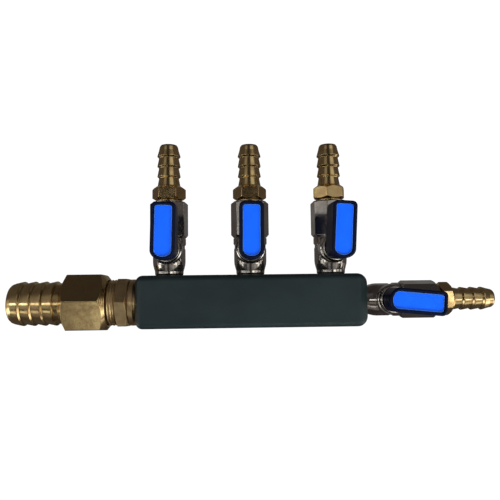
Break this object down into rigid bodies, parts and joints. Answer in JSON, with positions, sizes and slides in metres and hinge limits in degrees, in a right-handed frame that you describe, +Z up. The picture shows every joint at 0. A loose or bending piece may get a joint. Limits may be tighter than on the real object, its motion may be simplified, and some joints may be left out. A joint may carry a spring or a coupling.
{
  "type": "hose splitter manifold",
  "caption": "Square header bar with a large hose tail at one end, and quarter-turn ball valves with small hose tails along its top and at its other end.",
  "frame": {"origin": "on the header bar's underside, midway across it and under the middle valve", "axes": "+X along the bar from the inlet to the end outlet, +Z up along the top branches, levers on the -Y side"},
  "size_m": [0.2365, 0.0417, 0.0917],
  "materials": {
    "black_bar": "satin",
    "brass": "satin",
    "nickel_plate": "gloss",
    "chrome_ball": "polished",
    "ptfe": "matte",
    "seal_rubber": "matte",
    "lever_plastic": "satin",
    "insert_plastic": "satin",
    "screw_steel": "satin"
  },
  "bodies": {
    "manifold": {"manifold_block": "black_bar", "inlet_hex_nipple": "brass", "inlet_hose_tail": "brass", "valve_1_body": "nickel_plate", "valve_1_end_cap": "nickel_plate", "valve_1_seat_inner": "ptfe", "valve_1_seat_outer": "ptfe", "valve_1_hose_tail": "brass", "valve_2_body": "nickel_plate", "valve_2_end_cap": "nickel_plate", "valve_2_seat_inner": "ptfe", "valve_2_seat_outer": "ptfe", "valve_2_hose_tail": "brass", "valve_3_body": "nickel_plate", "valve_3_end_cap": "nickel_plate", "valve_3_seat_inner": "ptfe", "valve_3_seat_outer": "ptfe", "valve_3_hose_tail": "brass", "valve_4_body": "nickel_plate", "valve_4_end_cap": "nickel_plate", "valve_4_seat_inner": "ptfe", "valve_4_seat_outer": "ptfe", "valve_4_hose_tail": "brass"},
    "valve_1_lever_set": {"valve_1_ball": "chrome_ball", "valve_1_stem": "brass", "valve_1_stem_o_ring": "seal_rubber", "valve_1_stem_washer": "ptfe", "valve_1_lever": "lever_plastic", "valve_1_lever_insert": "insert_plastic", "valve_1_lever_screw": "screw_steel"},
    "valve_2_lever_set": {"valve_2_ball": "chrome_ball", "valve_2_stem": "brass", "valve_2_stem_o_ring": "seal_rubber", "valve_2_stem_washer": "ptfe", "valve_2_lever": "lever_plastic", "valve_2_lever_insert": "insert_plastic", "valve_2_lever_screw": "screw_steel"},
    "valve_3_lever_set": {"valve_3_ball": "chrome_ball", "valve_3_stem": "brass", "valve_3_stem_o_ring": "seal_rubber", "valve_3_stem_washer": "ptfe", "valve_3_lever": "lever_plastic", "valve_3_lever_insert": "insert_plastic", "valve_3_lever_screw": "screw_steel"},
    "valve_4_lever_set": {"valve_4_ball": "chrome_ball", "valve_4_stem": "brass", "valve_4_stem_o_ring": "seal_rubber", "valve_4_stem_washer": "ptfe", "valve_4_lever": "lever_plastic", "valve_4_lever_insert": "insert_plastic", "valve_4_lever_screw": "screw_steel"}
  },
  "joints": [
    {"name": "valve_1_turn", "type": "hinge", "parent": "manifold", "child": "valve_1_lever_set", "pos_m": [-0.04, 0, 0.038], "axis": [0.0052, 1, 0], "range_deg": [-1.5, 88.5]},
    {"name": "valve_2_turn", "type": "hinge", "parent": "manifold", "child": "valve_2_lever_set", "pos_m": [0, 0, 0.038], "axis": [-0.0035, 1, 0], "range_deg": [-0.5, 89.5]},
    {"name": "valve_3_turn", "type": "hinge", "parent": "manifold", "child": "valve_3_lever_set", "pos_m": [0.03991, 0, 0.038], "axis": [-0.0785, 0.9969, -0.0005], "range_deg": [-3.65, 86.35]},
    {"name": "valve_4_turn", "type": "hinge", "parent": "manifold", "child": "valve_4_lever_set", "pos_m": [0.068, 0, 0.01235], "axis": [0, 0.9998, -0.0175], "range_deg": [-5.5, 84.5]}
  ]
}
